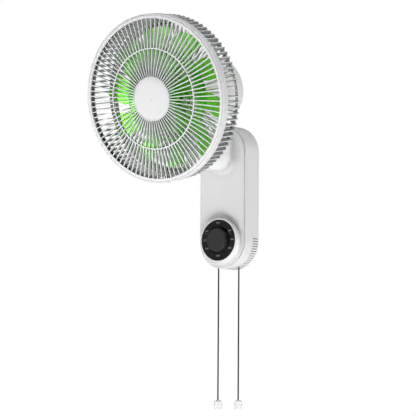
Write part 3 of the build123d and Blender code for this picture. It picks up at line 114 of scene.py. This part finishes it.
def mix(nt, fac, a, b):
    n = nt.nodes.new("ShaderNodeMix")
    n.data_type = "RGBA"
    nt.links.new(fac, n.inputs["Factor"])
    for key, v in ((6, a), (7, b)):
        if isinstance(v, tuple):
            n.inputs[key].default_value = (*v, 1.0)
        else:
            nt.links.new(v, n.inputs[key])
    return n.outputs[2]


def bump(nt, bs, height, strength, distance, normal=None):
    n = nt.nodes.new("ShaderNodeBump")
    n.inputs["Strength"].default_value = strength
    n.inputs["Distance"].default_value = distance
    nt.links.new(height, n.inputs["Height"])
    if normal is not None:
        nt.links.new(normal, n.inputs["Normal"])
    nt.links.new(n.outputs["Normal"], bs.inputs["Normal"])
    return n.outputs["Normal"]


def set_in(bs, **kw):
    names = {"ior": "IOR", "spec": "Specular IOR Level", "coat": "Coat Weight", "coat_rough": "Coat Roughness",
             "sss": "Subsurface Weight", "sss_scale": "Subsurface Scale", "aniso": "Anisotropic",
             "metal": "Metallic", "rough": "Roughness", "sheen": "Sheen Weight", "trans": "Transmission Weight",
             "sheen_rough": "Sheen Roughness"}
    for k, v in kw.items():
        bs.inputs[names[k]].default_value = v


def edges(nt, radius):
    """Normal rounded over sharp edges, and a mask that is 1 on them."""
    bv = nt.nodes.new("ShaderNodeBevel")
    bv.samples = 6
    bv.inputs["Radius"].default_value = radius
    geo = nt.nodes.new("ShaderNodeNewGeometry")
    dot = nt.nodes.new("ShaderNodeVectorMath")
    dot.operation = "DOT_PRODUCT"
    nt.links.new(bv.outputs["Normal"], dot.inputs[0])
    nt.links.new(geo.outputs["Normal"], dot.inputs[1])
    return bv.outputs["Normal"], span(nt, dot.outputs["Value"], 0.995, 0.80, 0.0, 1.0)


def scratches(nt, vec, scale):
    """Sparse fine hairlines in two directions."""
    out = None
    for turn, seed in ((0.5, 0.0), (2.1, 3.7)):
        mp = nt.nodes.new("ShaderNodeMapping")
        mp.inputs["Rotation"].default_value = (turn, turn * 0.7, turn * 1.3)
        mp.inputs["Location"].default_value = (seed, seed, seed)
        mp.inputs["Scale"].default_value = (1.0, 0.035, 1.0)
        nt.links.new(vec, mp.inputs["Vector"])
        line = span(nt, noise(nt, mp.outputs["Vector"], scale, 1.0), 0.70, 0.76, 0.0, 1.0)
        out = line if out is None else math_node(nt, "MAXIMUM", out, line)
    return out


def recess_shade(nt, shade_reach):
    """Painted shade mask: 1 on open surfaces, falling to 0 deep between ribs and in corners, where shade falls."""
    ao = nt.nodes.new("ShaderNodeAmbientOcclusion")
    ao.samples = 8
    ao.inputs["Distance"].default_value = shade_reach
    return ao.outputs["AO"]


def plastic(name, col, col2, rough=0.34, rough2=0.44, grain=2400.0, grain_h=0.00002, wave_h=0.00006,
            spec=0.5, coat=0.0, sss=0.0, dust=0.05, edge=0.0, worn=None, hair=0.0, painted_shade=None):
    """Moulded plastic: slow tone drift, moulded grain, flow waves, dust, hairlines, rubbed edges, and painted shade
    that darkens recesses.
    """
    m, nt, bs = new_mat(name)
    v = coords(nt)
    slow = noise(nt, v, 9.0, 2.0)
    mid = noise(nt, v, 75.0, 4.0)
    fine = noise(nt, v, grain, 2.0, 0.5)
    tone = mix(nt, span(nt, slow, 0.35, 0.65, 0.0, 1.0), col, col2)
    dust_wear_and_shade = mix(nt, math_node(nt, "MULTIPLY", span(nt, mid, 0.52, 0.75, 0.0, 1.0), dust), tone,
                tuple(min(1.0, c * 0.55 + 0.24) for c in col))
    normal = None
    rgh = span(nt, mid, 0.3, 0.7, rough, rough2)
    if edge:
        normal, rub = edges(nt, edge)
        dust_wear_and_shade = mix(nt, math_node(nt, "MULTIPLY", rub, span(nt, mid, 0.25, 0.75, 0.35, 0.9)), dust_wear_and_shade, worn)
        rgh = math_node(nt, "SUBTRACT", rgh, math_node(nt, "MULTIPLY", rub, 0.07))
    h = math_node(nt, "ADD", math_node(nt, "MULTIPLY", fine, grain_h / 0.0001),
                  math_node(nt, "MULTIPLY", noise(nt, v, 34.0, 1.0), wave_h / 0.0001))
    if hair:
        line = scratches(nt, v, 210.0)
        rgh = math_node(nt, "ADD", rgh, math_node(nt, "MULTIPLY", line, 0.16))
        h = math_node(nt, "SUBTRACT", h, math_node(nt, "MULTIPLY", line, hair))
    # painted shade: an ambient-occlusion mask darkens the colour towards a dark tint between ribs and in corners,
    # where shade falls
    if painted_shade:
        shade_reach, lo, hi, shade_tint = painted_shade
        unshaded = span(nt, math_node(nt, "ADD", recess_shade(nt, shade_reach), span(nt, mid, 0.3, 0.7, -0.05, 0.05)), lo, hi, 0.0, 1.0)
        dust_wear_and_shade = mix(nt, unshaded, shade_tint, dust_wear_and_shade)
    nt.links.new(dust_wear_and_shade, bs.inputs["Base Color"])
    nt.links.new(rgh, bs.inputs["Roughness"])
    bump(nt, bs, h, 0.6, 0.0001, normal)
    set_in(bs, spec=spec, ior=1.49, coat=coat, coat_rough=0.12)
    if sss:
        set_in(bs, sss=sss, sss_scale=0.002)
        bs.inputs["Subsurface Radius"].default_value = (1.0, 1.0, 1.0)
    return m


def metal(name, col, col2, rough=0.28, rough2=0.42, scale=900.0, stretch=(1, 1, 1), height=0.00001, metallic=1.0):
    """Plated or drawn metal: fine directional streaks, a blotchy tone and roughness."""
    m, nt, bs = new_mat(name)
    v = coords(nt)
    mp = nt.nodes.new("ShaderNodeMapping")
    mp.inputs["Scale"].default_value = stretch
    nt.links.new(v, mp.inputs["Vector"])
    streak = noise(nt, mp.outputs["Vector"], scale, 3.0)
    blot = noise(nt, v, 60.0, 4.0)
    nt.links.new(mix(nt, span(nt, blot, 0.3, 0.7, 0.0, 1.0), col, col2), bs.inputs["Base Color"])
    nt.links.new(span(nt, streak, 0.3, 0.7, rough, rough2), bs.inputs["Roughness"])
    bump(nt, bs, streak, 0.5, height)
    set_in(bs, metal=metallic)
    return m


M = {}
# shell and guard carry painted shade: their colour darkens towards a dark grey tint in recesses and between ribs
M["shell"] = plastic("shell_white", (0.80, 0.803, 0.80), (0.772, 0.776, 0.773), 0.28, 0.40, edge=0.0006,
                     worn=(0.84, 0.842, 0.84), hair=0.05, painted_shade=(0.024, 0.30, 0.93, (0.36, 0.362, 0.36)))
M["guard"] = plastic("guard_white", (0.82, 0.815, 0.83), (0.79, 0.785, 0.805), 0.22, 0.34, grain_h=0.00001,
                     edge=0.0005, worn=(0.86, 0.858, 0.865), painted_shade=(0.02, 0.26, 0.74, (0.17, 0.169, 0.17)))
M["cap"] = plastic("cap_white", (0.815, 0.812, 0.822), (0.802, 0.799, 0.809), 0.28, 0.34, grain_h=0.000004,
                   wave_h=0.00002, dust=0.015, edge=0.0005, worn=(0.86, 0.858, 0.865))
M["pull"] = plastic("pull_white", (0.82, 0.82, 0.815), (0.80, 0.80, 0.795), 0.50, 0.58, grain_h=0.000004,
                    wave_h=0.00001, dust=0.015, spec=0.35)
M["dial"] = plastic("dial_black", (0.0060, 0.0060, 0.0063), (0.0078, 0.0078, 0.0081), 0.46, 0.58, grain=5200.0,
                    grain_h=0.00003, dust=0.015, spec=0.22)
M["knob"] = plastic("knob_black", (0.019, 0.019, 0.020), (0.023, 0.023, 0.024), 0.38, 0.48, grain=4200.0,
                    grain_h=0.00002, dust=0.02, spec=0.4, edge=0.0005, worn=(0.075, 0.075, 0.077), hair=0.08)
M["dark"] = plastic("dark_moulding", (0.03, 0.03, 0.032), (0.045, 0.045, 0.047), 0.45, 0.6, grain_h=0.00004)
M["nylon"] = plastic("nylon_natural", (0.72, 0.70, 0.62), (0.66, 0.64, 0.56), 0.38, 0.5, sss=0.1)
M["rubber"] = plastic("rubber_black", (0.022, 0.022, 0.022), (0.035, 0.035, 0.035), 0.62, 0.78, grain=1500.0,
                      grain_h=0.00005, spec=0.35)
M["zinc"] = metal("zinc_plate", (0.56, 0.57, 0.58), (0.46, 0.47, 0.49), 0.30, 0.48, 420.0, (1, 1, 0.06))
M["steel"] = metal("bright_steel", (0.60, 0.60, 0.60), (0.50, 0.50, 0.51), 0.18, 0.34, 1400.0, (1, 1, 0.2))
M["brass"] = metal("brass", (0.70, 0.50, 0.20), (0.60, 0.42, 0.16), 0.22, 0.36, 1200.0)
M["cast"] = metal("cast_alloy", (0.58, 0.58, 0.585), (0.48, 0.48, 0.49), 0.42, 0.62, 1100.0, height=0.00004)


def lamination_mat():
    """Stacked laminations: thin bands across the head's axis, dark varnish."""
    m, nt, bs = new_mat("lamination_stack")
    v = coords(nt)
    dot = nt.nodes.new("ShaderNodeVectorMath")
    dot.operation = "DOT_PRODUCT"
    dot.inputs[1].default_value = (0.0, 0.98357, 0.18052)
    nt.links.new(v, dot.inputs[0])
    band = math_node(nt, "SINE", math_node(nt, "MULTIPLY", dot.outputs["Value"], 2 * math.pi / 0.0005))
    blot = noise(nt, v, 90.0, 4.0)
    nt.links.new(mix(nt, span(nt, blot, 0.3, 0.7, 0, 1), (0.16, 0.165, 0.17), (0.10, 0.075, 0.06)),
                 bs.inputs["Base Color"])
    nt.links.new(span(nt, blot, 0.3, 0.7, 0.35, 0.6), bs.inputs["Roughness"])
    bump(nt, bs, band, 0.5, 0.00006)
    set_in(bs, metal=0.85)
    return m


def winding_mat():
    """Enamelled copper wire wound round the coil ends."""
    m, nt, bs = new_mat("copper_winding")
    v = coords(nt)
    w = nt.nodes.new("ShaderNodeTexWave")
    w.wave_type = "RINGS"
    w.rings_direction = "SPHERICAL"
    w.inputs["Scale"].default_value = 420.0
    w.inputs["Distortion"].default_value = 2.0
    w.inputs["Detail"].default_value = 2.0
    nt.links.new(v, w.inputs["Vector"])
    blot = noise(nt, v, 80.0, 3.0)
    nt.links.new(mix(nt, blot, (0.42, 0.14, 0.045), (0.55, 0.24, 0.09)), bs.inputs["Base Color"])
    nt.links.new(span(nt, w.outputs["Fac"], 0, 1, 0.25, 0.45), bs.inputs["Roughness"])
    bump(nt, bs, w.outputs["Fac"], 0.7, 0.0002)
    set_in(bs, metal=0.8, coat=0.4, coat_rough=0.2)
    return m


def board_mat():
    m, nt, bs = new_mat("circuit_board")
    v = coords(nt)
    vor = nt.nodes.new("ShaderNodeTexVoronoi")
    vor.distance = "MANHATTAN"
    vor.inputs["Scale"].default_value = 220.0
    nt.links.new(v, vor.inputs["Vector"])
    fac = span(nt, vor.outputs["Distance"], 0.3, 0.34, 0.0, 1.0)
    nt.links.new(mix(nt, fac, (0.02, 0.10, 0.035), (0.035, 0.16, 0.055)), bs.inputs["Base Color"])
    nt.links.new(span(nt, fac, 0, 1, 0.3, 0.45), bs.inputs["Roughness"])
    bump(nt, bs, fac, 0.4, 0.00005)
    return m


def impeller_mat():
    """Tinted glossy plastic, thin enough to glow a little where light comes through it."""
    m, nt, bs = new_mat("impeller_green")
    v = coords(nt)
    slow = noise(nt, v, 16.0, 2.0)
    fine = noise(nt, v, 1800.0, 2.0)
    col = mix(nt, span(nt, slow, 0.35, 0.65, 0, 1), (0.275, 0.93, 0.085), (0.235, 0.88, 0.070))
    nt.links.new(col, bs.inputs["Base Color"])
    nt.links.new(span(nt, slow, 0.3, 0.7, 0.16, 0.26), bs.inputs["Roughness"])
    bump(nt, bs, fine, 0.25, 0.00002)
    set_in(bs, spec=0.5, ior=1.45, trans=0.7)
    return m


def cord_mat():
    """Braided cord: two opposed spirals of fine yarn."""
    m, nt, bs = new_mat("braided_cord")
    v = coords(nt)
    sep = nt.nodes.new("ShaderNodeSeparateXYZ")
    nt.links.new(v, sep.inputs[0])
    x = math_node(nt, "SUBTRACT", math_node(nt, "ABSOLUTE", sep.outputs["X"]), 0.0235)
    y = math_node(nt, "ADD", sep.outputs["Y"], 0.023)
    ang = math_node(nt, "ARCTAN2", y, x)
    z = math_node(nt, "MULTIPLY", sep.outputs["Z"], 2 * math.pi / 0.0032)
    a = math_node(nt, "SINE", math_node(nt, "ADD", math_node(nt, "MULTIPLY", ang, 4.0), z))
    b = math_node(nt, "SINE", math_node(nt, "SUBTRACT", math_node(nt, "MULTIPLY", ang, 4.0), z))
    h = math_node(nt, "MAXIMUM", a, b)
    fuzz = noise(nt, v, 3500.0, 3.0)
    h2 = math_node(nt, "ADD", h, math_node(nt, "MULTIPLY", fuzz, 0.7))
    nt.links.new(mix(nt, span(nt, h, -0.6, 1.0, 0.0, 1.0), (0.010, 0.010, 0.011), (0.034, 0.034, 0.036)),
                 bs.inputs["Base Color"])
    nt.links.new(span(nt, fuzz, 0.3, 0.7, 0.62, 0.82), bs.inputs["Roughness"])
    bump(nt, bs, h2, 0.8, 0.00018)
    set_in(bs, sheen=0.04, sheen_rough=0.5, spec=0.12)
    return m


M["lam"] = lamination_mat()
M["copper"] = winding_mat()
M["board"] = board_mat()
M["green"] = impeller_mat()
M["cord"] = cord_mat()

SLOT_MAT = {"white_shell": "shell", "guard_white": "guard", "white_pull": "pull", "green_blades": "green",
            "black_dial": "dial", "black_knob": "knob", "dark_plastic": "dark", "nylon": "nylon", "rubber": "rubber",
            "cord": "cord", "zinc_plate": "zinc", "steel": "steel", "brass": "brass", "cast_alloy": "cast",
            "lamination": "lam", "winding": "copper", "circuit_board": "board"}
node_slot = {s["node"]: s["material_slot"] for s in frame["record"]["subparts"]}
for name, ob in nodes.items():
    ob.data.materials.clear()
    ob.data.materials.append(M["cap" if name == "grille_cap" else SLOT_MAT[node_slot[name]]])


# ---------------------------------------------------------------- pull cords
def pull_cord(name, node, body, x):
    cu = bpy.data.curves.new(name, "CURVE")
    cu.dimensions = "3D"
    sp = cu.splines.new("NURBS")
    pts = [(x, -0.023, -0.114), (x, -0.023, -0.146), (x, -0.023, -0.368), (x, -0.023, -0.3892)]
    sp.points.add(len(pts) - 1)
    for p, co in zip(sp.points, pts):
        p.co = (*co, 1.0)
    sp.order_u = 3
    sp.use_endpoint_u = True
    sp.resolution_u = 24
    cu.bevel_depth = 0.0014
    cu.bevel_resolution = 6
    cu.use_fill_caps = True
    ob = bpy.data.objects.new(name, cu)
    scene.collection.objects.link(ob)
    cu.materials.append(M["cord"])
    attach(ob, body)
    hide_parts(node)
    return ob


pull_cord("cord_left_braid", "pull_cord_left", "pull_left", -0.0235)
pull_cord("cord_right_braid", "pull_cord_right", "pull_right", 0.0235)


# ---------------------------------------------------------------- dial marks
def print_mat():
    m, nt, bs = new_mat("dial_print")
    v = coords(nt)
    n = noise(nt, v, 2600.0, 3.0)
    nt.links.new(mix(nt, n, (0.24, 0.24, 0.245), (0.33, 0.33, 0.335)), bs.inputs["Base Color"])
    nt.links.new(span(nt, n, 0.3, 0.7, 0.45, 0.6), bs.inputs["Roughness"])
    bump(nt, bs, n, 0.3, 0.00002)
    return m


M["print"] = print_mat()
DIAL_C = Vector((0.0, -0.0570, -0.083))


def as_mesh(ob, name):
    dg = bpy.context.evaluated_depsgraph_get()
    me = bpy.data.meshes.new_from_object(ob.evaluated_get(dg))
    me.transform(ob.matrix_world)
    me.name = name
    new = bpy.data.objects.new(name, me)
    scene.collection.objects.link(new)
    bpy.data.objects.remove(ob)
    return new


def number(text, x, z, width, height, name):
    cu = bpy.data.curves.new(name, "FONT")
    cu.body = text
    cu.size = height / 0.70
    cu.align_x = "CENTER"
    cu.align_y = "CENTER"
    cu.extrude = 0.00003
    cu.resolution_u = 6
    ob = bpy.data.objects.new(name + "_t", cu)
    scene.collection.objects.link(ob)
    ob.matrix_world = Matrix.Rotation(math.radians(90), 4, "X")
    bpy.context.view_layer.update()
    new = as_mesh(ob, name)
    xs = [v.co.x for v in new.data.vertices]
    zs = [v.co.z for v in new.data.vertices]
    kx, kz = width / (max(xs) - min(xs)), height / (max(zs) - min(zs))
    mx, mz = (max(xs) + min(xs)) / 2, (max(zs) + min(zs)) / 2
    for v in new.data.vertices:
        v.co.x = DIAL_C.x + x + (v.co.x - mx) * kx
        v.co.y = v.co.y + DIAL_C.y - 0.00003
        v.co.z = DIAL_C.z + z + (v.co.z - mz) * kz
    new.data.materials.append(M["print"])
    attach(new, "wall_unit")
    return new


def bracket(x, z, name):
    """A short printed arc under a number, its lowest point at z."""
    bm = bmesh.new()
    r0, r1 = 0.0037, 0.0041
    lo, hi = [], []
    for k in range(17):
        t = math.radians(-145 + 110 * k / 16)
        for r, row in ((r0, lo), (r1, hi)):
            row.append((x + r * math.cos(t), z + r1 + r * math.sin(t)))
    front = [(bm.verts.new((DIAL_C.x + p[0], DIAL_C.y - 0.00006, DIAL_C.z + p[1])),
              bm.verts.new((DIAL_C.x + q[0], DIAL_C.y - 0.00006, DIAL_C.z + q[1]))) for p, q in zip(lo, hi)]
    back = [(bm.verts.new((DIAL_C.x + p[0], DIAL_C.y, DIAL_C.z + p[1])),
             bm.verts.new((DIAL_C.x + q[0], DIAL_C.y, DIAL_C.z + q[1]))) for p, q in zip(lo, hi)]
    for k in range(16):
        bm.faces.new((front[k][0], front[k + 1][0], front[k + 1][1], front[k][1]))
        bm.faces.new((back[k][1], back[k + 1][1], back[k + 1][0], back[k][0]))
        bm.faces.new((front[k][1], front[k + 1][1], back[k + 1][1], back[k][1]))
        bm.faces.new((front[k + 1][0], front[k][0], back[k][0], back[k + 1][0]))
    bm.faces.new((front[0][0], front[0][1], back[0][1], back[0][0]))
    bm.faces.new((front[-1][1], front[-1][0], back[-1][0], back[-1][1]))
    bmesh.ops.recalc_face_normals(bm, faces=bm.faces)
    me = bpy.data.meshes.new(name)
    bm.to_mesh(me)
    bm.free()
    me.materials.append(M["print"])
    ob = bpy.data.objects.new(name, me)
    scene.collection.objects.link(ob)
    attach(ob, "wall_unit")
    return ob


for txt, x, z, width in (("360", -1.3, 33.0, 8.6), ("060", 25.7, 17.3, 7.4), ("090", 31.0, 0.3, 7.0),
                         ("120", 26.4, -15.6, 7.0), ("180", -0.9, -29.4, 7.6), ("240", -27.0, -15.2, 7.4),
                         ("270", -31.2, 0.6, 7.4), ("300", -27.6, 17.7, 7.4)):
    number(txt, x * MM, z * MM, width * MM, 3.2 * MM, "dial_number_" + txt)
for name, x, z in (("360", -1.3, 27.2), ("060", 25.7, 11.4), ("300", -27.6, 11.8)):
    bracket(x * MM, z * MM, "dial_arc_" + name)

# ---------------------------------------------------------------- stage
fl = bpy.data.meshes.new("floor")
fl.from_pydata([(-20, -20, -6), (20, -20, -6), (20, 20, -6), (-20, 20, -6)], [], [(0, 1, 2, 3)])
floor = bpy.data.objects.new("floor", fl)
scene.collection.objects.link(floor)
fm, fnt, fbs = new_mat("floor_pale")
fv = coords(fnt)
fnt.links.new(mix(fnt, noise(fnt, fv, 3.0), (0.80, 0.80, 0.80), (0.83, 0.83, 0.83)), fbs.inputs["Base Color"])
set_in(fbs, rough=0.9, spec=0.2)
fbs.inputs["Emission Color"].default_value = (1, 1, 1, 1)
fbs.inputs["Emission Strength"].default_value = 0.88
fl.materials.append(fm)
floor.visible_diffuse = False
floor.visible_shadow = False
floor.visible_glossy = False

world = bpy.data.worlds.new("studio")
scene.world = world
world.use_nodes = True
wn = world.node_tree
wn.nodes.clear()
wo = wn.nodes.new("ShaderNodeOutputWorld")
wtc = wn.nodes.new("ShaderNodeTexCoord")
sepw = wn.nodes.new("ShaderNodeSeparateXYZ")
wn.links.new(wtc.outputs["Generated"], sepw.inputs[0])
lp = wn.nodes.new("ShaderNodeLightPath")
light_bg = wn.nodes.new("ShaderNodeBackground")
cam_bg = wn.nodes.new("ShaderNodeBackground")
cam_bg.inputs["Color"].default_value = (1, 1, 1, 1)
cam_bg.inputs["Strength"].default_value = 1.0
mr = wn.nodes.new("ShaderNodeMapRange")
mr.inputs["From Min"].default_value = -1.0
mr.inputs["From Max"].default_value = 1.0
mr.inputs["To Min"].default_value = 0.06
mr.inputs["To Max"].default_value = 0.06
wn.links.new(sepw.outputs["Z"], mr.inputs["Value"])
wn.links.new(mr.outputs["Result"], light_bg.inputs["Strength"])
ms = wn.nodes.new("ShaderNodeMixShader")
seen = wn.nodes.new("ShaderNodeMath")
seen.operation = "MAXIMUM"
wn.links.new(lp.outputs["Is Camera Ray"], seen.inputs[0])
wn.links.new(lp.outputs["Is Transmission Ray"], seen.inputs[1])
wn.links.new(seen.outputs[0], ms.inputs[0])
wn.links.new(light_bg.outputs[0], ms.inputs[1])
wn.links.new(cam_bg.outputs[0], ms.inputs[2])
wn.links.new(ms.outputs[0], wo.inputs["Surface"])


SUBJECT = Vector((0.0, -0.15, 0.0))


def softbox(name, azimuth, elevation, strength):
    """A round soft light 2.4 m away; azimuth 0 is straight in front, 90 on the right."""
    a, e = math.radians(azimuth), math.radians(elevation)
    away = Vector((math.sin(a) * math.cos(e), -math.cos(a) * math.cos(e), math.sin(e)))
    l = bpy.data.lights.new(name, "AREA")
    l.shape = "DISK"
    l.size = 1.3
    l.energy = strength * 4 * math.pi * 2.4 ** 2 * 0.83
    o = bpy.data.objects.new(name, l)
    scene.collection.objects.link(o)
    o.location = SUBJECT + away * 2.4
    o.rotation_mode = "QUATERNION"
    o.rotation_quaternion = (-away).to_track_quat("-Z", "Y")
    return o


for name, az, el, strength in (
        ("low_right", 40, -50, 0.490), ("low_front", 0, -50, 0.300), ("front", 0, -15, 0.195),
        ("left", -40, -15, 0.205), ("high_left", -40, 55, 0.205), ("high_front", 0, 55, 0.150),
        ("side_high", 120, 55, 0.444), ("side", 120, -15, 0.288), ("side_low", 120, -50, 0.309),
        ("back_left", -130, 0, 0.285)):
    softbox(name, az, el, strength)
